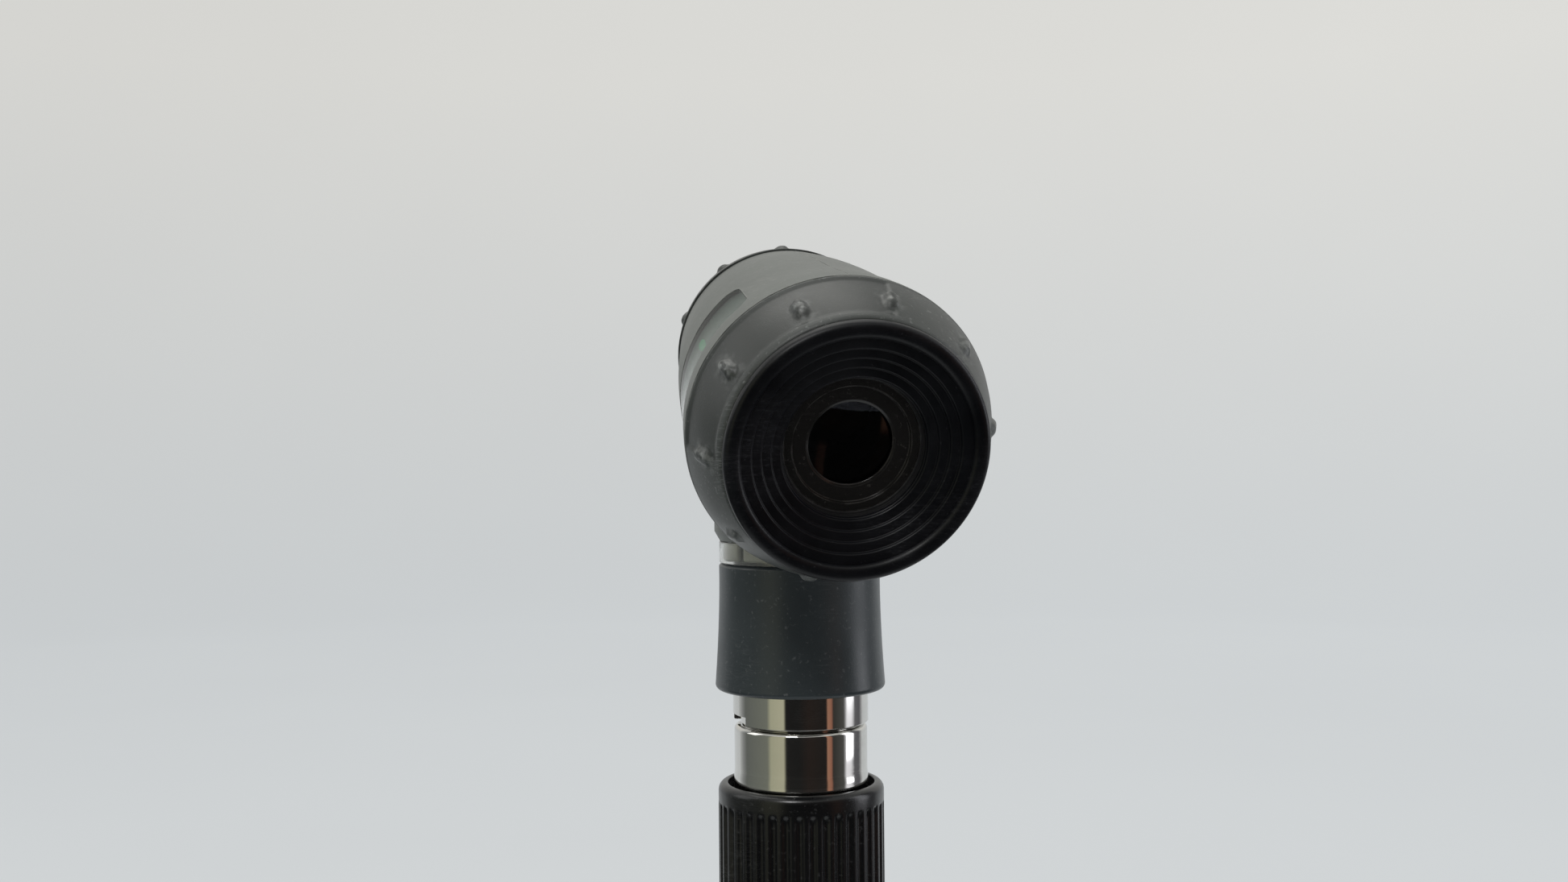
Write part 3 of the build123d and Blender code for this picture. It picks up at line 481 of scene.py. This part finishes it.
def make_eyepiece():
    """The rubber cushion: a rolled rim, then a funnel in even steps down to the tube."""
    top, rim = cushion.high - 0.08, cushion.radius
    seat = cushion.low
    side, foot = rim - 1.0, top - 4.0
    corners = [
        (CUSHION_BORE, foot),
        (rim - 1.7, foot),
        (rim - 1.7, foot - 1.0),
        (rim - 3.1, foot - 1.0),
        (rim - 3.1, seat),
        (side, seat, 0.3),
        (side, top - 1.9, 0.15),
        (rim, top - 1.75, 0.25),
        (rim, top, 1.1),
        (rim - 2.45, top, 0.9),
        (rim - 2.7, top - 0.85, 0.3),
    ]
    treads, tread_drop, slope = 4, 0.62, 0.12
    inner_rim = rim - 2.7
    run = (inner_rim - CUSHION_BORE - 0.3) / treads
    for i in range(treads):
        edge = inner_rim - (i + 1) * run
        level = top - 0.95 - i * tread_drop
        corners.append((edge, level - slope, 0.22))
        corners.append((edge - slope, level - tread_drop, 0.12))
    corners.append((CUSHION_BORE, top - 3.5, 0.2))
    piece(
        "eyepiece_cushion_rubber",
        spun(corners, 160, place=OPTIC),
        "head",
        FINISH["eyepiece_rubber"],
        ["eyepiece_cushion"],
    )


def bump_of(across, along, half_length, radius):
    """The height, 0 to 1, of a rounded bar at a distance across it and along it."""
    far = hypot(across, max(abs(along) - half_length, 0.0)) / radius
    return (1 - far**3) ** 1.5 if far < 1 else 0.0


def step(value, low, high):
    """A soft step from 0 to 1."""
    share = min(max((value - low) / (high - low), 0.0), 1.0)
    return share * share * (3 - 2 * share)


def off_nub(vert, first):
    """How far round a point is from the nearest nub, in mm, by where the first nub is."""
    radius = hypot(vert.co.x, vert.co.y) / MM
    off = (atan2(vert.co.y, vert.co.x) - first + NUB_GAP / 2) % NUB_GAP - NUB_GAP / 2
    return off * radius


def push_out(vert, rise):
    """Moves a point out from the axis by so many mm."""
    share = 1 + rise * MM / hypot(vert.co.x, vert.co.y)
    vert.co.x *= share
    vert.co.y *= share


def make_focus_ring():
    """The focusing ring: a grip with ten nubs and a shallow hollow, its web, and its drum."""
    outer, drop, curl = grip.radius - 0.01, 0.164, 0.0152
    foot, back = seam + 0.15, seam + GRIP_DEPTH
    neck_in = DRUM_RADIUS - 0.9
    drum_bore = neck_in - 1.6
    clear_in = cushion.radius - 0.7
    rows = 36
    corners = [(outer - 0.35, foot), (outer, foot + 0.35)]
    for i in range(1, rows + 1):
        run = 0.5 + (GRIP_DEPTH - 0.9) * i / rows
        corners.append((outer - drop * run - curl * run * run, seam + run))
    corners += [
        (outer - 3.95, back, 0.3),
        (clear_in, back, 0.2),
        (clear_in, WEB_BACK + 1.0),
        (clear_in - 1.0, WEB_BACK),
        (WEB_BORE, WEB_BACK),
        (WEB_BORE, WEB_FRONT),
        (drum_bore, WEB_FRONT),
        (drum_bore, grip.low),
        (neck_in, grip.low, 0.2),
        (DRUM_RADIUS - 0.35, seam - 18.0),
        (DRUM_RADIUS, seam - 12.0),
        (DRUM_RADIUS, seam - 4.7, 0.2),
        (neck_in, seam - 4.7),
        (neck_in, foot),
    ]
    bm = spun(corners, 480)
    rub = bm.verts.layers.float.new("worn")
    shade = bm.verts.layers.float.new("hollow")
    first_nub, nub_level = radians(5.3), 6.6
    nub_height, hollow_depth = 0.72, 0.3
    for vert in bm.verts:
        level, radius = vert.co.z / MM - seam, hypot(vert.co.x, vert.co.y) / MM
        if level < 0.3 or radius < clear_in + 0.4:
            continue
        off = off_nub(vert, first_nub)
        lift = bump_of(off, level - nub_level, 0.8, 1.3)
        halo = bump_of(off, level - nub_level, 1.6, 2.8)
        turn = degrees(atan2(vert.co.y, vert.co.x)) % 360
        hollow = step(turn, 75.8, 77.2) * (1 - step(turn, 184.2, 185.8))
        hollow *= step(level, 0.8, 1.2) * (1 - step(level, 9.4, 10.2))
        vert[rub] = max(lift * 1.2 - 0.35, 0.25 * halo)
        # Painted shade: marks the hollow so that its finish is darkened there.
        vert[shade] = 0.8 * hollow
        push_out(vert, nub_height * lift - hollow_depth * hollow * (1 - lift))
    bmesh.ops.transform(bm, matrix=OPTIC, verts=bm.verts)
    piece(
        "focus_ring_grip", bm, "focus_ring", FINISH["focus_grey"], ["focus_ring"]
    )


def make_dial():
    """The front dial: ten nubs outside, and a plain groove inside where its cams run."""
    back, front = dial.high, dial.low
    middle = (back + front) / 2
    corners = [
        (DIAL_BORE, front),
        (DIAL_BORE, front + 0.55),
        (DIAL_GROOVE, front + 0.55),
        (DIAL_GROOVE, back - 4.6),
        (DIAL_BORE, back - 4.6),
        (DIAL_BORE, back),
    ]
    rows, bulge = 26, 0.32
    for i in range(rows + 1):
        share = i / rows
        radius = DIAL_RADIUS - DIAL_TAPER * share + bulge * 4 * share * (1 - share)
        corners.append((radius, back + (front - back) * share))
    bm = spun(corners, 360)
    first_nub, nub_height = radians(127.3), 0.6
    for vert in bm.verts:
        if hypot(vert.co.x, vert.co.y) / MM < DIAL_GROOVE + 0.3:
            continue
        along = vert.co.z / MM - middle
        push_out(vert, nub_height * bump_of(off_nub(vert, first_nub), along, 1.0, 1.3))
    bmesh.ops.transform(bm, matrix=OPTIC, verts=bm.verts)
    piece("grip_dial_ring", bm, "grip_dial", FINISH["focus_grey"], ["grip_dial"])


def make_nose_cone():
    """The front cover, rounded at its shoulder and its nose, with the ejector's bore inside."""
    back, front = cone.high, cone.low
    corners = [
        (CONE_BORE, back),
        (cone.radius - 0.02, back, 0.2),
        (cone.radius - 0.5, back - 1.55, 0.4),
        (CONE_SHOULDER, front + 0.9, 0.8),
        (CONE_MOUTH + 1.2, front, 0.4),
        (CONE_MOUTH, front, 0.15),
        (CONE_MOUTH, front + 1.15),
        (CONE_BORE, front + 1.15),
    ]
    slot = slot_of["nose_cone"]
    piece(
        "nose_cone_cover",
        spun(corners, 160, place=OPTIC),
        "head",
        FINISH[slot],
        ["nose_cone"],
    )


def make_dimmer():
    """The dimmer ring: a rolled top, forty ribs, and a raised eye round the lock button."""
    foot, top, outer, bore = dimmer.low, dimmer.high, DIMMER_RADIUS, DIMMER_BORE
    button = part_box("lock_button")
    button_level = (button[0].z + button[1].z) / 2
    ribs_low, ribs_high = foot + 1.6, top - 3.0
    corners = [(bore, foot), (outer, foot, 0.5)]
    rows = 26
    for i in range(rows + 1):
        share = i / rows
        share = 0.1 * share + 0.9 * share * share * (3 - 2 * share)
        corners.append((outer, ribs_low - 0.1 + (ribs_high - ribs_low + 0.2) * share))
    corners += [
        (outer, top, 1.35),
        (bore + 0.5, top, 0.2),
        (bore + 0.5, top - 2.0),
        (bore, top - 2.6),
        (bore, RECESS_HIGH),
        (bore + 0.9, RECESS_HIGH),
        (bore + 0.9, RECESS_LOW),
        (bore, RECESS_LOW),
    ]
    bm = spun(corners, 640)
    flute_half, flute_depth = 0.74, 0.5
    for vert in bm.verts:
        radius, level = hypot(vert.co.x, vert.co.y) / MM, vert.co.z / MM
        if radius < outer - 0.02 or not ribs_low - 0.2 < level < ribs_high + 0.2:
            continue
        off = atan2(vert.co.y, vert.co.x) % RIB_GAP - RIB_GAP / 2
        across = abs(off * outer) / flute_half
        sink = flute_depth * (1 - across * across) if across < 1 else 0.0
        sink *= step(level, ribs_low, ribs_low + 0.5)
        sink *= 1 - step(level, ribs_high - 1.0, ribs_high)
        push_out(vert, -sink)
    hole, eye_bore, eye_radius = 4.1 * MM, 3.3, 4.5
    gone = []
    for face in bm.faces:
        middle = face.calc_center_median()
        if middle.y > 0 and hypot(middle.x, middle.z - button_level) < hole:
            gone.append(face)
    bmesh.ops.delete(bm, geom=gone, context="FACES")
    close_up(bm)
    black = FINISH["ring_black"]
    piece("rheostat_ring_grip", bm, "rheostat_ring", black, ["rheostat_ring"])
    eye = [
        (eye_bore, bore + 0.05),
        (eye_radius, bore + 0.05),
        (eye_radius, outer + 0.12, 0.3),
        (eye_bore, outer + 0.12, 0.2),
    ]
    behind = Matrix.Translation((0, 0, button_level)) @ Matrix.Rotation(-pi / 2, 4, "X")
    eye = spun(eye, 64, place=behind)
    piece("rheostat_ring_eye", eye, "rheostat_ring", black, ["rheostat_ring"])


def mark(name, station, angle, length, width, finish):
    """A painted mark on the drum, by its station and its angle round the optical axis."""
    bm = bmesh.new()
    bmesh.ops.create_circle(bm, cap_ends=True, segments=24, radius=0.5)
    grown = bmesh.ops.extrude_face_region(bm, geom=bm.faces[:])["geom"]
    raised = [v for v in grown if isinstance(v, bmesh.types.BMVert)]
    bmesh.ops.translate(bm, verts=raised, vec=(0, 0, 0.06))
    bmesh.ops.scale(bm, verts=bm.verts, vec=(length * MM, width * MM, MM))
    stood = Matrix(((0, 0, 1), (0, 1, 0), (-1, 0, 0))).to_4x4()
    spin = Matrix.Rotation(radians(angle), 4, "Z")
    place = Matrix.Translation((MARK_RADIUS * MM, 0, station * MM))
    bmesh.ops.transform(bm, matrix=OPTIC @ spin @ place @ stood, verts=bm.verts)
    close_up(bm)
    piece(name, bm, "focus_ring", FINISH[finish])


def make_light_band():
    """The clear throat light: a hollow band with pale pads in it, and a lens over the lamp."""
    foot, top, outer = band.high - BAND_HEIGHT, band.high, band.radius
    seat_foot, lens_foot = foot - 5.85, foot - 1.2
    corners = [
        (0, lens_foot),
        (BAND_BORE - 0.5, lens_foot),
        (BAND_BORE - 0.5, seat_foot),
        (outer - 1.2, seat_foot),
        (outer - 1.2, foot),
        (outer, foot, 0.15),
        (outer, top, 0.25),
        (outer - 0.55, top),
        (outer - 0.55, foot + 0.5),
        (outer - 1.7, foot + 0.5),
        (outer - 1.7, top),
        (BAND_BORE, top),
        (BAND_BORE, foot),
        (0, foot),
    ]
    piece(
        "light_band_wall",
        spun(corners, 144),
        "base",
        FINISH["band_clear"],
        ["light_band"],
    )
    pads = bmesh.new()
    pad_count, pad_start, pad_span = 12, 3, 24
    pad_in, pad_out, pad_low, pad_high = outer - 1.6, outer - 0.65, foot + 0.6, top - 0.1
    for i in range(pad_count):
        start = len(pads.verts)
        around = ((pad_in, pad_low), (pad_out, pad_low), (pad_out, pad_high), (pad_in, pad_high))
        face = pads.faces.new([pads.verts.new((r * MM, 0, z * MM)) for r, z in around])
        pads.verts.ensure_lookup_table()
        turn_z(pads, pads.verts[start:], radians(i * 360 / pad_count + pad_start))
        lathe(pads, [face], 8, radians(pad_span))
    close_up(pads)
    rims = [e for e in pads.edges if e.calc_face_angle(0) > 0.8]
    rounded(pads, rims, 0.35, "EDGES", 3)
    close_up(pads)
    piece("light_band_pads", pads, "base", FINISH["pad_white"])


def make_neck_ring():
    """The bright top ring: a rolled top edge, a flared foot, a spigot and three lugs."""
    top, outer, inner = neck.high, neck.radius, SPIGOT_RADIUS - 1.2
    corners = [
        (NECK_BORE, NECK_FOOT + 1.5),
        (NECK_BORE, top, 0.3),
        (outer - 0.1, top, 0.85),
        (outer - 0.1, dimmer.high + 1.9, 0.5),
        (outer, dimmer.high + 1.1, 0.4),
        (outer, NECK_FOOT),
        (SPIGOT_RADIUS, NECK_FOOT),
        (SPIGOT_RADIUS, neck.low),
        (inner, neck.low),
        (inner, NECK_FOOT + 1.5),
    ]
    bm = spun(corners, 192)
    lug_size = (1.05 * MM, 3.0 * MM, 2.0 * MM)
    lug_spot = ((NECK_BORE - 0.125) * MM, 0, (top - 4.2) * MM)
    for angle in (90, 210, 330):
        lug = bmesh.ops.create_cube(bm, size=1)["verts"]
        bmesh.ops.scale(bm, verts=lug, vec=lug_size)
        bmesh.ops.translate(bm, verts=lug, vec=lug_spot)
        turn_z(bm, lug, radians(angle))
    close_up(bm)
    piece(
        "neck_ring_bright", bm, "handle", FINISH["neck_chrome"], ["neck_ring"]
    )


def make_eye_lens():
    """The eye lens, domed on both faces."""
    low, high, rim = eye_lens.low, eye_lens.high, eye_lens.radius
    dome = (high - low) / 2 - 0.5
    shares = [i / 24 for i in range(25)]
    corners = [(rim * share, low + dome * share * share) for share in shares]
    corners += [(rim * share, high - dome * share * share) for share in reversed(shares)]
    piece(
        "eye_lens_glass",
        spun(corners, 120, place=OPTIC),
        "head",
        FINISH["lens_glass"],
        ["eye_lens"],
    )


make_eyepiece()
make_eye_lens()
make_focus_ring()
mark("index_dot_front", 23.1, 143, 1.0, 1.0, "mark_white")
mark("index_dot_back", 23.7, 148, 1.0, 1.0, "mark_white")
mark("index_bar", 18.5, 154, 4.6, 1.7, "mark_green")
make_light_band()
make_neck_ring()
make_dial()
make_nose_cone()
make_dimmer()


# ------------------------------------------------------------------ the setting


def light_panel(name, spot, aim, size, power, colour=(1, 1, 1)):
    """A soft rectangular light that faces a point."""
    data = bpy.data.lights.new(name, "AREA")
    data.shape = "RECTANGLE"
    data.size, data.size_y = size
    data.energy = power
    data.color = colour
    panel = bpy.data.objects.new(name, data)
    bpy.context.scene.collection.objects.link(panel)
    panel.location = spot
    panel.rotation_euler = (Vector(aim) - Vector(spot)).to_track_quat("-Z", "Y").to_euler()
    panel.visible_camera = False
    return panel


def make_backdrop():
    """A pale floor that sweeps up into a wall all round."""
    turn_radius, sweep, wall, floor_level = 2200.0, 700.0, 2600.0, -0.05
    bm = bmesh.new()
    outline(
        bm, [(0, floor_level), (turn_radius, floor_level, sweep), (turn_radius, wall)], segments=24
    )
    lathe(bm, bm.verts[:] + bm.edges[:], 96)
    bmesh.ops.remove_doubles(bm, verts=bm.verts, dist=0.01 * MM)
    bmesh.ops.recalc_face_normals(bm, faces=bm.faces)
    for face in bm.faces:
        face.smooth = True
    material, tree, shader = new_finish("backdrop_paper", 0.9, Emission_Strength=0.56)
    spot = add(tree, "SeparateXYZ", Vector=add(tree, "TexCoord").outputs["Object"])
    rise = spread(tree, spot.outputs["Z"], 0.0, 0.75)
    glow = blended(tree, rise, (0.8, 0.84, 0.87), (1.01, 1.0, 0.96))
    across = spread(tree, spot.outputs["X"], -1.2, 1.2, 0.95, 1.07)
    glow = add(tree, "VectorMath", operation="SCALE", Vector=glow, Scale=across).outputs[0]
    tree.links.new(glow, shader.inputs["Emission Color"])
    cloud = spread(tree, noise(tree, 2.0, 3.0), 0.3, 0.7)
    dress(tree, shader, blended(tree, cloud, (0.15, 0.152, 0.15), (0.165, 0.168, 0.165)))
    backdrop = in_scene("backdrop", bm, material)


def make_screen():
    """A dark curved screen on the camera's side, with the patches that bright metal mirrors."""
    half_turn = 128
    bm = bmesh.new()
    outline(bm, [(140, 1), (750, 1), (750, 720)])
    turn_z(bm, bm.verts, CAMERA_SIDE - radians(half_turn))
    lathe(bm, bm.verts[:] + bm.edges[:], 96, radians(2 * half_turn))
    material, tree, shader = new_finish("screen_cloth", 0.95, Emission_Strength=1.0)
    spot = add(tree, "TexCoord").outputs["Object"]
    turned = add(tree, "VectorRotate", Vector=spot, Angle=-CAMERA_SIDE)
    turned.rotation_type = "Z_AXIS"
    flat = add(tree, "SeparateXYZ", Vector=turned.outputs[0])
    angle = reckon(tree, "ARCTAN2", flat.outputs["Y"], flat.outputs["X"])
    share = spread(tree, angle, radians(-half_turn), radians(half_turn))
    ramp = add(tree, "ValToRGB", Fac=share)
    patches = (
        (-128, (0.5, 0.52, 0.52)),
        (-116, (0.26, 0.27, 0.27)),
        (-106, (0.13, 0.14, 0.13)),
        (-58, (0.18, 0.19, 0.16)),
        (-52, (0.42, 0.42, 0.3)),
        (-29, (0.48, 0.47, 0.34)),
        (-25, (0.004, 0.0035, 0.0035)),
        (-3, (0.003, 0.003, 0.003)),
        (14, (0.012, 0.006, 0.004)),
        (44, (0.006, 0.0045, 0.004)),
        (46, (0.38, 0.19, 0.12)),
        (53, (0.33, 0.14, 0.09)),
        (56, (0.03, 0.028, 0.025)),
        (78, (0.07, 0.07, 0.065)),
        (85, (0.95, 0.95, 1.0)),
        (95, (0.85, 0.85, 0.9)),
        (103, (0.12, 0.12, 0.13)),
        (118, (0.1, 0.1, 0.11)),
        (128, (0.55, 0.56, 0.57)),
    )
    stops = ramp.color_ramp.elements
    for i, (degree, tone) in enumerate(patches):
        place = (degree + half_turn) / (2 * half_turn)
        stop = stops[i] if i < 2 else stops.new(place)
        stop.position = place
        stop.color = (*tone, 1.0)
    far = add(tree, "VectorMath", operation="LENGTH", Vector=spot)
    near_dark = spread(tree, far.outputs["Value"], 0.4, 0.5, 0.03, 1.0)
    glow = add(tree, "VectorMath", operation="SCALE", Vector=ramp.outputs["Color"], Scale=near_dark)
    tree.links.new(glow.outputs[0], shader.inputs["Emission Color"])
    shader.inputs["Base Color"].default_value = (0.003, 0.003, 0.003, 1.0)
    screen = in_scene("dark_screen", bm, material)
    screen.visible_camera = False
    screen.visible_shadow = False
    screen.visible_diffuse = False


def make_lights():
    """Soft studio light from above and behind, and the room."""
    head = (0, 0, 0.2)
    light_panel("top_panel", (-0.1, 0.25, 1.2), head, (0.8, 0.8), 3.6, (1.0, 0.99, 0.95))
    light_panel("left_panel", (-0.62, 0.2, 0.5), head, (0.3, 0.4), 0.5)
    light_panel("right_panel", (0.59, -0.1, 0.3), head, (0.2, 0.5), 0.6, (0.93, 0.95, 1.0))
    light_panel("brow_panel", (-0.35, -0.6, 0.8), head, (0.26, 0.16), 2.2)
    world = bpy.data.worlds.new("room")
    world.use_nodes = True
    world.node_tree.nodes["Background"].inputs["Color"].default_value = (0.86, 0.87, 0.85, 1)
    world.node_tree.nodes["Background"].inputs["Strength"].default_value = 0.7
    bpy.context.scene.world = world
    bpy.context.scene.view_settings.view_transform = "Standard"


def make_camera():
    """The camera that sees the instrument from behind the eyepiece."""
    data = bpy.data.cameras.new("camera")
    data.sensor_width, data.lens, data.clip_start = 36.0, 37.0, 0.01
    camera = bpy.data.objects.new("camera", data)
    bpy.context.scene.collection.objects.link(camera)
    camera.location = CAMERA_SPOT
    roll = Quaternion((0, 0, 1), radians(-0.5))
    camera.rotation_euler = (Vector(CAMERA_AIM).to_track_quat("-Z", "Y") @ roll).to_euler()
    bpy.context.scene.camera = camera


make_backdrop()
make_screen()
make_lights()
make_camera()
